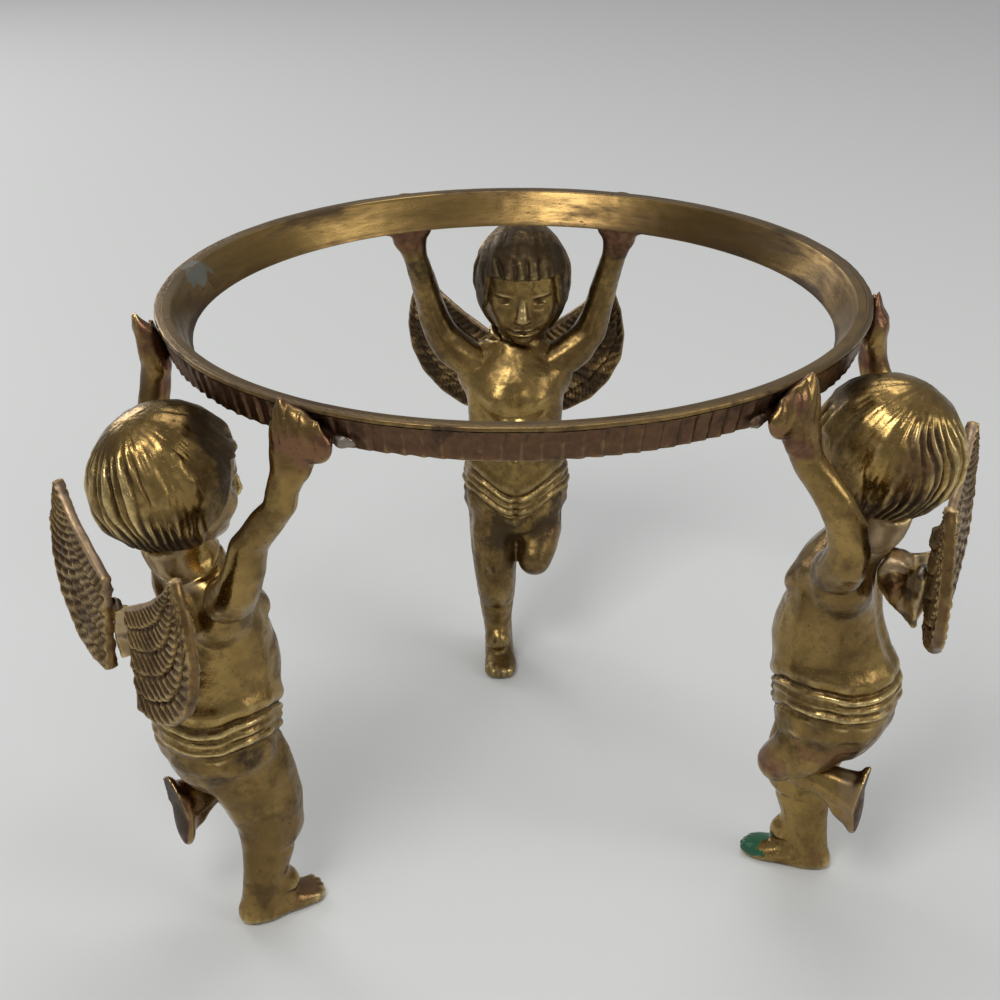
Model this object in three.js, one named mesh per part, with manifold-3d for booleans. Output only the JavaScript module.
// A brass ring stand for a candle holder: a tapered ring band held up by three cast cherubs.
// Millimetres, +Z up. The origin is under the middle of the overall box, where the feet stand.
// Each cherub is drawn in its own frame: x = 0 is the middle of the trunk and points away from
// the ring's axis, y points to the cherub's right and z is up from the sole of the foot.
import * as THREE from 'three';
import { mergeVertices } from 'three/addons/utils/BufferGeometryUtils.js';
import Module from 'manifold-3d';

const wasm = await Module();
wasm.setup();

// Ring band
const RING_TOP_RADIUS = 75;
const BAND_HEIGHT = 7.6;
const BAND_OUTER_DRAFT = 2.2;
const RIM_WIDTH = 3.2;
const BAND_FOOT_WIDTH = 5.3;
const LIP_HEIGHT = 1;
const FLUTE_COUNT = 72;
const FLUTE_DEPTH = 0.45;

// Heights of a figure, one on the other
const LEG_LENGTH = 43;
const LOIN_DEPTH = 13;
const CHEST_LENGTH = 26;
const NECK_LENGTH = 9;
const HEAD_HALF = { x: 14.6, y: 11.8, z: 15.6 };
const HEAD_SETBACK = 7;
const HEAD_CLEARANCE = 0.2;
const HAIR_LOCKS = 15;
const HAIR_RELIEF = 1;
const CROWN_TILT = THREE.MathUtils.degToRad(25);

// Trunk and loincloth
const HIP_HALF_WIDTH = 13.5;
const BELLY_HALF_WIDTH = 12.2;
const CHEST_HALF_WIDTH = 12.9;
const NECK_HALF_WIDTH = 6.4;
const LOIN_ROLLS = 4;
const ROLL_RELIEF = 0.7;
const LOIN_DIP = 5;

// Legs and feet
const LEG_Y = 5.2;
const THIGH_HALF_WIDTH = 6.5;
const ANKLE_HALF_WIDTH = 3.8;
const FOOT_LENGTH = 21;
const FOOT_HALF_WIDTH = 4.2;
const HEEL_X = 1.6;
const BENT_LEG_Y = -5.6;
const KNEE_X = -9.4;
const KNEE_RADIUS = 4.9;
const SHIN_RADIUS = 3.8;
const SHIN_END_X = 9;
const SOLE_HALF_LENGTH = 9.2;
const SOLE_HALF_WIDTH = 5;

// Arms and hands
const SHOULDER_Y = 12.6;
const UPPER_ARM_RADIUS = 5.1;
const ELBOW_Y = 20.8;
const FOREARM_RADIUS = 4.2;
const WRIST_RADIUS = 3.1;
const HAND_HALF_WIDTH = 4.8;
const HAND_HALF_DEPTH = 3.1;
const FINGER_COUNT = 4;
const FINGER_RADIUS = 1.25;
const FINGER_LENGTH = 8.2;
const THUMB_LENGTH = 6.4;
const FAN_START = -24;
const FAN_END = 76;

// Wings and their bracket
const WING_PLATE = 1.7;
const WING_SPAN = 24;
const WING_HEIGHT = 37.5;
const WING_SETBACK = 19.5;
const WING_ROOT_Y = 5.5;
const FEATHER_ROWS = 5;
const FEATHER_STEP = 0.35;
const BRACKET_WEB = 2.4;
const BRACKET_HEIGHT = 9;

// Solder beads and the gap left at each joint
const BEAD_HALF = { x: 1.5, y: 2.3, z: 1.7 };
const JOINT_GAP = 0.3;

// Where the cherubs stand, and how each was bent when it was set
const CHERUBS = [
  {
    name: 'back', azimuth: 89.5, headDrop: 3.5, headShift: -2, armLean: 0, wingDrop: 7.5,
    left: { handAngle: 20, wingSweep: 0.23, droop: 0 },
    right: { handAngle: 20, wingSweep: 0.65, droop: 0 },
  },
  {
    name: 'left', azimuth: 214, headDrop: 0, headShift: 0, armLean: -2.2, wingDrop: 4.5,
    left: { handAngle: 20, wingSweep: 0.03, droop: 0 },
    right: { handAngle: 23, wingSweep: -0.1, droop: 2 },
  },
  {
    name: 'right', azimuth: 335.3, headDrop: 0, headShift: 0, armLean: 2.2, wingDrop: 0,
    left: { handAngle: 20, wingSweep: 0.3, droop: -3 },
    right: { handAngle: 20, wingSweep: -0.02, droop: 0 },
  },
];

const loinTop = LEG_LENGTH + LOIN_DEPTH;
const shoulderHeight = loinTop + CHEST_LENGTH;
const neckTop = shoulderHeight + NECK_LENGTH;
const bandBottom = neckTop + 2 * HEAD_HALF.z + HEAD_CLEARANCE;
const bandTop = bandBottom + BAND_HEIGHT;
const wingFoot = shoulderHeight - 13;
const bracketHeight = shoulderHeight - 0.5;

const castBrass = new THREE.MeshStandardMaterial({ color: 0x8a6f34, roughness: 0.32, metalness: 1 });
const ringBrass = new THREE.MeshStandardMaterial({ color: 0x86623c, roughness: 0.42, metalness: 1 });
const wingBrass = new THREE.MeshStandardMaterial({ color: 0x80582f, roughness: 0.5, metalness: 1 });
const solder = new THREE.MeshStandardMaterial({ color: 0xc9c4b4, roughness: 0.4, metalness: 1 });

const v3 = (x, y, z) => new THREE.Vector3(x, y, z);
const smooth = THREE.MathUtils.smoothstep;

// Closed geometry with its shared vertices merged, as a solid that can be joined and cut
function solid(geometry) {
  const bare = geometry.clone();
  bare.deleteAttribute('normal');
  bare.deleteAttribute('uv');
  const merged = mergeVertices(bare, 1e-4);
  const index = merged.index.array;
  const triVerts = [];
  for (let i = 0; i < index.length; i += 3) {
    const [a, b, c] = index.slice(i, i + 3);
    if (a !== b && b !== c && c !== a) triVerts.push(a, b, c);
  }
  const mesh = new wasm.Mesh({
    numProp: 3,
    vertProperties: new Float32Array(merged.attributes.position.array),
    triVerts: new Uint32Array(triVerts),
  });
  return new wasm.Manifold(mesh);
}

function geometryOf(body) {
  const mesh = body.getMesh();
  const geometry = new THREE.BufferGeometry();
  geometry.setAttribute('position', new THREE.BufferAttribute(new Float32Array(mesh.vertProperties), 3));
  geometry.setIndex(new THREE.BufferAttribute(new Uint32Array(mesh.triVerts), 1));
  geometry.computeVertexNormals();
  return geometry;
}

// Skin over rings of points, closed at both ends, with its faces turned outwards
function skin(rings) {
  const sides = rings[0].length;
  const points = rings.flat();
  const middle = (ring) => ring.reduce((sum, p) => sum.add(p), v3(0, 0, 0)).divideScalar(sides);
  points.push(middle(rings[0]), middle(rings.at(-1)));
  const start = points.length - 2;
  const end = points.length - 1;
  const top = (rings.length - 1) * sides;
  const triangles = [];
  for (let i = 0; i < sides; i += 1) {
    const j = (i + 1) % sides;
    triangles.push([start, j, i], [end, top + i, top + j]);
    for (let k = 0; k < top; k += sides) {
      triangles.push([k + i, k + j, k + sides + j], [k + i, k + sides + j, k + sides + i]);
    }
  }
  const volume = triangles.reduce((sum, [a, b, c]) => (
    sum + points[a].dot(points[b].clone().cross(points[c]))), 0);
  if (volume < 0) triangles.forEach((triangle) => triangle.reverse());
  const geometry = new THREE.BufferGeometry().setFromPoints(points);
  geometry.setIndex(triangles.flat());
  return geometry;
}

// A limb is a smooth run of oval sections. A station is [x, y, z, half width, half depth]: the
// width lies along `side`, and the depth is square to it and to the limb. `level` keeps the
// sections horizontal, and each end is closed by a dome, or flat where its value is 0.
function limb(stations, { side = v3(0, 1, 0), sides = 8, steps = 8, grow = 0, level = false,
  ends = [1, 1], shape = (point) => point }) {
  const path = new THREE.CatmullRomCurve3(stations.map(([x, y, z]) => v3(x, y, z)));
  const sizes = new THREE.CatmullRomCurve3(stations.map((s) => v3(s[3] + grow, s[4] + grow, 0)));
  const section = (t, scale, slide) => {
    const size = sizes.getPoint(t);
    const along = level ? v3(0, 0, 1) : path.getTangent(t);
    const depth = along.clone().cross(side).normalize();
    const width = depth.clone().cross(along).normalize();
    const centre = path.getPoint(t).addScaledVector(along, slide * Math.min(size.x, size.y));
    return Array.from({ length: sides }, (_, i) => {
      const angle = (i / sides) * 2 * Math.PI;
      const point = centre.clone().addScaledVector(width, size.x * scale * Math.cos(angle));
      return shape(point.addScaledVector(depth, size.y * scale * Math.sin(angle)), t, centre);
    });
  };
  const domed = (t, way, bulge) => [0.6, 0.92].map((s) => section(t, Math.sqrt(1 - s * s), way * s * bulge));
  return skin([
    ...(ends[0] ? domed(0, -1, ends[0]).reverse() : []),
    ...Array.from({ length: steps + 1 }, (_, i) => section(i / steps, 1, 0)),
    ...(ends[1] ? domed(1, 1, ends[1]) : []),
  ]);
}

function ellipsoid(centre, half, across, up, tilt = 0, deform = (p) => p) {
  const geometry = new THREE.SphereGeometry(1, across, up).rotateX(Math.PI / 2).rotateY(tilt);
  const position = geometry.attributes.position;
  for (let i = 0; i < position.count; i += 1) {
    const p = deform(v3(0, 0, 0).fromBufferAttribute(position, i));
    position.setXYZ(i, centre.x + p.x * half.x, centre.y + p.y * half.y, centre.z + p.z * half.z);
  }
  return geometry;
}

const bandRadius = (z) => RING_TOP_RADIUS - (BAND_OUTER_DRAFT * (bandTop - z)) / BAND_HEIGHT;

// Tapered band with a plain lip, and shallow flutes down the outside below the lip
function ringBand() {
  const lip = bandTop - LIP_HEIGHT;
  const profile = [
    [bandRadius(bandBottom) - BAND_FOOT_WIDTH, bandBottom], [bandRadius(bandBottom), bandBottom],
    [bandRadius(lip), lip], [bandRadius(lip), lip], [RING_TOP_RADIUS, bandTop],
    [RING_TOP_RADIUS - RIM_WIDTH, bandTop],
  ];
  const fluted = [false, true, true, false, false, false];
  const steps = FLUTE_COUNT * 2;
  const point = (step, k) => {
    const angle = (step / steps) * 2 * Math.PI;
    const radius = profile[k][0] - (fluted[k] && step % 2 ? FLUTE_DEPTH : 0);
    return [radius * Math.cos(angle), radius * Math.sin(angle), profile[k][1]];
  };
  const positions = [];
  for (let step = 0; step < steps; step += 1) {
    for (let k = 0; k < profile.length; k += 1) {
      const next = (k + 1) % profile.length;
      const [a, b, c, d] = [point(step, k), point(step + 1, k), point(step + 1, next), point(step, next)];
      positions.push(...a, ...b, ...c, ...a, ...c, ...d);
    }
  }
  const geometry = new THREE.BufferGeometry();
  geometry.setAttribute('position', new THREE.BufferAttribute(new Float32Array(positions), 3));
  return geometry;
}

// Space that the band takes as seen by the hands, run on below and above it
function bandCutter() {
  const low = bandBottom - 2 * HAND_HALF_WIDTH;
  const high = bandTop + HAND_HALF_WIDTH;
  const profile = [[0, low], [bandRadius(low) + JOINT_GAP, low], [bandRadius(high) + JOINT_GAP, high], [0, high]];
  const lathe = new THREE.LatheGeometry(profile.map(([x, y]) => new THREE.Vector2(x, y)), FLUTE_COUNT);
  return solid(lathe.rotateX(Math.PI / 2).translate(-RING_TOP_RADIUS, 0, 0));
}

// Front, back and half width of the trunk from the crotch to the neck
const TRUNK = [
  [LEG_LENGTH - 7, -8, 8, HIP_HALF_WIDTH - 5.5],
  [LEG_LENGTH - 3, -11, 11, HIP_HALF_WIDTH - 2],
  [LEG_LENGTH + 1, -12.2, 12.2, HIP_HALF_WIDTH - 0.3],
  [LEG_LENGTH + LOIN_DEPTH / 2, -12.3, 13, HIP_HALF_WIDTH],
  [loinTop, -12.6, 12.9, HIP_HALF_WIDTH - 0.5],
  [loinTop + CHEST_LENGTH * 0.18, -13.4, 11.8, BELLY_HALF_WIDTH + 0.2],
  [loinTop + CHEST_LENGTH * 0.42, -13, 9.4, BELLY_HALF_WIDTH],
  [loinTop + CHEST_LENGTH * 0.65, -11.6, 8.4, CHEST_HALF_WIDTH - 0.3],
  [shoulderHeight - 4, -10.4, 7.8, CHEST_HALF_WIDTH],
  [shoulderHeight, -9, 8, CHEST_HALF_WIDTH - 0.6],
  [shoulderHeight + NECK_LENGTH * 0.35, -6.5, 9.6, CHEST_HALF_WIDTH - 3],
  [shoulderHeight + NECK_LENGTH * 0.7, -4, 12, NECK_HALF_WIDTH + 1],
  [neckTop + 1, -2.6, 13.4, NECK_HALF_WIDTH],
  [neckTop + 6, -1.6, 14, NECK_HALF_WIDTH],
];

function trunkAt(z) {
  const above = Math.max(1, TRUNK.findIndex((row) => row[0] >= z));
  const [low, high] = [TRUNK[above - 1], TRUNK[above]];
  const share = (z - low[0]) / (high[0] - low[0]);
  return low.map((value, k) => THREE.MathUtils.lerp(value, high[k], share));
}

// Trunk and loincloth, with the cloth's rolls round the hips dipping to the front
function trunk(grow = 0) {
  const rolls = Array.from({ length: 2 * LOIN_ROLLS + 1 }, (_, i) => {
    const [z, front, back, half] = trunkAt(LEG_LENGTH + ((i + 0.2) * LOIN_DEPTH) / (2 * LOIN_ROLLS + 0.4));
    const relief = i % 2 ? ROLL_RELIEF : 0;
    return [z, front - relief, back + relief, half + relief];
  });
  const plain = TRUNK.filter(([z]) => z < LEG_LENGTH || z > loinTop);
  const rows = [...plain, ...rolls].sort((a, b) => a[0] - b[0]);
  const stations = rows.map(([z, front, back, half]) => [(front + back) / 2, 0, z, half, (back - front) / 2]);
  const dip = (point) => {
    const front = smooth(-point.x, 0, 12);
    const cloth = smooth(point.z, LEG_LENGTH - 8, LEG_LENGTH + 4) * (1 - smooth(point.z, loinTop, loinTop + 12));
    point.z -= LOIN_DIP * front * cloth * (1 - smooth(Math.abs(point.y), 0, HIP_HALF_WIDTH));
    return point;
  };
  return limb(stations, { sides: 14, steps: rows.length - 1, grow, level: true, ends: [0, 0], shape: dip });
}

function standingLeg() {
  const at = (share) => LEG_LENGTH * share;
  return limb([
    [-4.7, LEG_Y - 0.4, 0.5, ANKLE_HALF_WIDTH + 0.2, 6],
    [-4.9, LEG_Y - 0.5, at(0.16), ANKLE_HALF_WIDTH, 5.2],
    [-5.7, LEG_Y, at(0.28), ANKLE_HALF_WIDTH + 0.2, 5.3],
    [-6.9, LEG_Y, at(0.43), ANKLE_HALF_WIDTH + 1, 6.3],
    [-7.2, LEG_Y + 0.2, at(0.6), THIGH_HALF_WIDTH - 0.9, 8],
    [-4, LEG_Y + 0.6, at(0.84), THIGH_HALF_WIDTH, 10.4],
    [0, LEG_Y + 0.8, at(1.08), THIGH_HALF_WIDTH, 11],
  ], { sides: 10, steps: 8, level: true, ends: [0, 0] });
}

function foot() {
  const x = (share) => HEEL_X - FOOT_LENGTH * share;
  return limb([
    [x(0.13), LEG_Y - 0.6, 2.2, FOOT_HALF_WIDTH - 1.1, 3],
    [x(0.28), LEG_Y - 0.6, 2.4, FOOT_HALF_WIDTH - 0.3, 4],
    [x(0.5), LEG_Y - 0.8, 2, FOOT_HALF_WIDTH - 0.2, 4],
    [x(0.74), LEG_Y - 1, 1.5, FOOT_HALF_WIDTH + 0.2, 2.9],
    [x(0.9), LEG_Y - 1.1, 1.4, FOOT_HALF_WIDTH - 0.3, 2.1],
  ], { sides: 10, steps: 6, ends: [0.8, 0.9] });
}

function bentThigh() {
  return limb([
    [2, BENT_LEG_Y, LEG_LENGTH + 3, 6.8, 8],
    [-4, BENT_LEG_Y - 0.2, LEG_LENGTH - 5.5, 6.5, 7.4],
    [KNEE_X, BENT_LEG_Y + 0.6, LEG_LENGTH - 11, KNEE_RADIUS, KNEE_RADIUS + 0.3],
  ], { sides: 10, steps: 4, ends: [0, 1] });
}

// Lower leg kicked back from the knee, with the sole of its foot facing back, toes down
function kickingLeg(grow = 0) {
  const shinZ = LEG_LENGTH - 12.7;
  const sole = (point, t, centre) => {
    const down = Math.max(0, centre.z - point.z) / SOLE_HALF_LENGTH;
    point.y = centre.y + (point.y - centre.y) * (1 - 0.6 * down * smooth(t, 0.5, 1));
    return point;
  };
  return limb([
    [KNEE_X + 4.6, BENT_LEG_Y + 0.4, shinZ + 0.4, SHIN_RADIUS - 0.4, SHIN_RADIUS],
    [KNEE_X + 9.4, BENT_LEG_Y, shinZ - 0.1, SHIN_RADIUS - 0.6, SHIN_RADIUS + 0.2],
    [SHIN_END_X - 5, BENT_LEG_Y - 0.1, shinZ - 1.2, SHIN_RADIUS, SHIN_RADIUS + 1.4],
    [SHIN_END_X - 2, BENT_LEG_Y - 0.2, shinZ - 2.5, SOLE_HALF_WIDTH - 0.5, SOLE_HALF_LENGTH - 1.7],
    [SHIN_END_X, BENT_LEG_Y - 0.2, shinZ - 2.9, SOLE_HALF_WIDTH, SOLE_HALF_LENGTH],
  ], { sides: 8, steps: 6, grow, ends: [1, 0], shape: sole });
}

// Head with its cap of hair, combed in locks from the crown, as one casting
function head(drop, shift, grow = 0) {
  const centre = v3(HEAD_SETBACK, shift, neckTop + HEAD_HALF.z - drop);
  const half = v3(HEAD_HALF.x + grow, HEAD_HALF.y + grow, HEAD_HALF.z + grow);
  const crown = v3(Math.sin(CROWN_TILT), 0, Math.cos(CROWN_TILT));
  const level = v3(Math.cos(CROWN_TILT), 0, -Math.sin(CROWN_TILT));
  return ellipsoid(centre, half, 2 * HAIR_LOCKS, 12, CROWN_TILT, (p) => {
    const low = Math.max(0, -p.z);
    const hairline = 0.36 - 0.9 * smooth(p.x, -0.7, 0.4);
    const hair = smooth(p.z, hairline - 0.15, hairline + 0.1);
    const combed = smooth(p.angleTo(crown), 0.3, 1.1);
    const lock = 0.5 + 0.5 * Math.cos(HAIR_LOCKS * Math.atan2(p.y, p.dot(level)));
    const rise = 1 + (hair * HAIR_RELIEF * (0.6 + combed * (lock - 0.6))) / HEAD_HALF.x;
    return v3(p.x * rise - 0.28 * low * low, p.y * rise * (1 - 0.16 * low * low), p.z);
  });
}

// Arm from the shoulder to the flat hand that holds the band; `right` is 1 or -1
function arm(right, lean, handAngle, grow = 0) {
  const reach = bandBottom - shoulderHeight;
  const up = (share) => shoulderHeight + reach * share;
  const turn = THREE.MathUtils.degToRad(handAngle);
  const grip = bandRadius(bandBottom) + HAND_HALF_DEPTH;
  const handX = grip * Math.cos(turn) - RING_TOP_RADIUS;
  const handY = grip * Math.sin(turn);
  const side = v3(-right * Math.sin(turn), Math.cos(turn), 0);
  return limb([
    [1, right * (SHOULDER_Y - 3.4), up(0.01), UPPER_ARM_RADIUS, UPPER_ARM_RADIUS + 0.4],
    [2, right * (SHOULDER_Y + 1.4), up(0.08), UPPER_ARM_RADIUS, UPPER_ARM_RADIUS + 0.4],
    [3.4 + lean * 0.5, right * (ELBOW_Y - 2.4), up(0.18), UPPER_ARM_RADIUS - 0.6, UPPER_ARM_RADIUS],
    [3.7 + lean, right * ELBOW_Y, up(0.32), FOREARM_RADIUS - 0.3, FOREARM_RADIUS + 0.6],
    [2.4 + lean, right * (ELBOW_Y + 1.6), up(0.49), FOREARM_RADIUS - 0.7, FOREARM_RADIUS + 0.1],
    [handX + 3.4 + lean * 0.5, right * (handY - 2.2), up(0.65), WRIST_RADIUS + 0.1, WRIST_RADIUS + 0.7],
    [handX + 1.4, right * (handY - 1.2), bandBottom - 9.4, WRIST_RADIUS, WRIST_RADIUS + 0.2],
    [handX + 0.3, right * (handY - 0.5), bandBottom - 5.6, HAND_HALF_WIDTH - 1, HAND_HALF_DEPTH + 0.1],
    [handX, right * handY, bandBottom - 1.8, HAND_HALF_WIDTH, HAND_HALF_DEPTH],
    [handX - 0.2, right * handY, bandBottom + 1.2, HAND_HALF_WIDTH - 0.6, HAND_HALF_DEPTH - 0.4],
  ], { side, sides: 10, steps: 12, grow, ends: [1, 0.7] });
}

// Point on the outside of the band, so far sideways from the middle of a hand and so high
function onBand(right, handAngle, aside, z, out) {
  const radius = bandRadius(z) + JOINT_GAP + out;
  const turn = right * (THREE.MathUtils.degToRad(handAngle) + aside / RING_TOP_RADIUS);
  return v3(radius * Math.cos(turn) - RING_TOP_RADIUS, radius * Math.sin(turn), z);
}

// Thumb, which is number 0 and lies nearest the head, or a finger of the fan beside it
function finger(right, handAngle, number, grow = 0) {
  const lean = THREE.MathUtils.degToRad(THREE.MathUtils.lerp(FAN_START, FAN_END, number / FINGER_COUNT));
  const tip = number === 0 ? THUMB_LENGTH : FINGER_LENGTH;
  const place = (reach, out) => {
    const z = Math.min(bandBottom + reach * Math.cos(lean), bandTop - FINGER_RADIUS);
    return onBand(right, handAngle, reach * Math.sin(lean), z, out);
  };
  const side = onBand(right, handAngle, 0, bandBottom, RING_TOP_RADIUS).normalize();
  return limb([
    [...place(1, FINGER_RADIUS * 1.3), FINGER_RADIUS, FINGER_RADIUS],
    [...place(tip, FINGER_RADIUS * 0.9), FINGER_RADIUS, FINGER_RADIUS],
  ], { side, sides: 6, steps: 1, grow, ends: [0, 1] });
}

// Outline of a wing: distance from the middle of the back, and height above the wing's foot
const wingLower = [[0.06, 0.01], [0.36, 0], [0.68, 0.1], [0.9, 0.26], [1, 0.48], [0.97, 0.7], [0.87, 0.9]];
const wingUpper = [[-0.04, 0.6], [0.2, 0.68], [0.44, 0.77], [0.66, 0.88], [0.8, 0.99]];

// Thin plate with rows of feathers, each row standing proud of the one above its lower edge
function wing(right, sweep, drop, grow = 0) {
  const curve = (points) => new THREE.CatmullRomCurve3(points.map(([across, up]) => (
    v3(0, WING_ROOT_Y + across * WING_SPAN, wingFoot - drop + up * WING_HEIGHT))));
  const [lower, upper] = [curve(wingLower), curve(wingUpper)];
  const steps = 7;
  const rows = Array.from({ length: FEATHER_ROWS }, (_, row) => [
    [row / FEATHER_ROWS, FEATHER_STEP], [(row + 1) / FEATHER_ROWS, 0]]).flat();
  const rings = Array.from({ length: steps + 1 }, (_, i) => {
    const [low, high] = [lower.getPointAt(i / steps), upper.getPointAt(i / steps)];
    const point = (share, out) => {
      const p = low.clone().lerp(high, share);
      const x = WING_SETBACK + sweep * (p.y - WING_ROOT_Y) + out;
      return v3(x, right * p.y, p.z);
    };
    const half = WING_PLATE / 2 + grow;
    return [...rows.map(([share, step]) => point(share, half + step)),
      ...[...rows].reverse().map(([share, step]) => point(share, -half - step))];
  });
  return skin(rings);
}

// Saddle brazed to the back, with a web out to the root of each wing
function bracket(drop, grow = 0) {
  const height = bracketHeight - drop;
  const boss = limb([
    [5, 0, height, 4.4, BRACKET_HEIGHT / 2 + 1],
    [9, 0, height, 3.8, BRACKET_HEIGHT / 2],
    [12.5, 0, height - 0.5, 4.2, BRACKET_HEIGHT / 2],
  ], { sides: 8, steps: 2, grow, ends: [0, 0.4] });
  const webs = [-1, 1].map((right) => limb([
    [10, right * 1.5, height - 1, BRACKET_WEB / 2 + 0.6, BRACKET_HEIGHT / 2],
    [13.5, right * (WING_ROOT_Y - 2), height - 2.6, BRACKET_WEB / 2, BRACKET_HEIGHT / 2 + 1.5],
    [WING_SETBACK - 1.2, right * (WING_ROOT_Y + 1.4), height - 3.4, BRACKET_WEB / 2, BRACKET_HEIGHT - 1.5],
  ], { sides: 6, steps: 2, grow, ends: [0, 0] }));
  return webs.reduce((sum, web) => sum.add(solid(web)), solid(boss));
}

function handBead(right, handAngle, cutter, hand) {
  const centre = onBand(right, handAngle, FINGER_LENGTH + BEAD_HALF.y, bandBottom + BEAD_HALF.z, BEAD_HALF.x / 2);
  const lastFinger = solid(finger(right, handAngle, FINGER_COUNT, JOINT_GAP));
  return solid(ellipsoid(centre, BEAD_HALF, 7, 5)).subtract(cutter).subtract(hand).subtract(lastFinger);
}

function wingBead(right, drop, plate, saddle) {
  const centre = v3(WING_SETBACK - WING_PLATE, right * (WING_ROOT_Y + 0.4), 
    bracketHeight - drop + BRACKET_HEIGHT / 2 - 1.4);
  return solid(ellipsoid(centre, BEAD_HALF, 7, 5)).subtract(plate).subtract(saddle);
}

const stand = new THREE.Group();

function addPiece(group, name, geometry, material) {
  const mesh = new THREE.Mesh(geometry, material);
  mesh.name = name;
  group.add(mesh);
}

function addCherub(cherub) {
  const { name, azimuth, headDrop, headShift, armLean, wingDrop } = cherub;
  const turned = new THREE.Group();
  turned.rotation.z = THREE.MathUtils.degToRad(azimuth);
  stand.add(turned);
  const figure = new THREE.Group();
  figure.position.x = RING_TOP_RADIUS;
  turned.add(figure);

  const cutter = bandCutter();
  const belowFloor = solid(new THREE.BoxGeometry(60, 60, 20).translate(0, 0, -10));
  const headSpace = solid(head(headDrop, headShift, JOINT_GAP));
  let body = [standingLeg(), foot(), bentThigh()].reduce((sum, piece) => sum.add(solid(piece)), solid(trunk()));
  body = body.subtract(belowFloor).subtract(headSpace).subtract(solid(kickingLeg(JOINT_GAP)));
  let saddle = bracket(wingDrop).subtract(solid(trunk(JOINT_GAP))).subtract(headSpace);

  for (const [hand, right] of Object.entries({ left: -1, right: 1 })) {
    const { handAngle, wingSweep, droop } = cherub[hand];
    const armSpace = solid(arm(right, armLean, handAngle, JOINT_GAP));
    body = body.subtract(armSpace);
    const fingers = Array.from({ length: FINGER_COUNT + 1 }, (_, n) => solid(finger(right, handAngle, n)));
    const armBody = fingers.reduce((sum, piece) => sum.add(piece), solid(arm(right, armLean, handAngle)));
    addPiece(figure, `${name}_${hand}_arm`, geometryOf(armBody.subtract(cutter)), castBrass);
    addPiece(figure, `${name}_${hand}_hand_solder`,
      geometryOf(handBead(right, handAngle, cutter, armSpace)), solder);

    const wingSpace = solid(wing(right, wingSweep, wingDrop + droop, JOINT_GAP));
    saddle = saddle.subtract(wingSpace);
    addPiece(figure, `${name}_${hand}_wing`, wing(right, wingSweep, wingDrop + droop), wingBrass);
    addPiece(figure, `${name}_${hand}_wing_solder`,
      geometryOf(wingBead(right, wingDrop, wingSpace, bracket(wingDrop, JOINT_GAP))), solder);
  }
  addPiece(figure, `${name}_body`, geometryOf(body), castBrass);
  addPiece(figure, `${name}_wing_bracket`, geometryOf(saddle), castBrass);
  addPiece(figure, `${name}_head`, head(headDrop, headShift), castBrass);
  addPiece(figure, `${name}_kicking_leg`, kickingLeg(), castBrass);
}

addPiece(stand, 'ring_band', ringBand(), ringBrass);
CHERUBS.forEach(addCherub);

// The feet stand on z = 0, and the origin is under the middle of the stand's overall box
const middle = new THREE.Box3().setFromObject(stand, true).getCenter(v3(0, 0, 0));
stand.position.set(-middle.x, -middle.y, 0);
const part = new THREE.Group();
part.add(stand);

export default part;
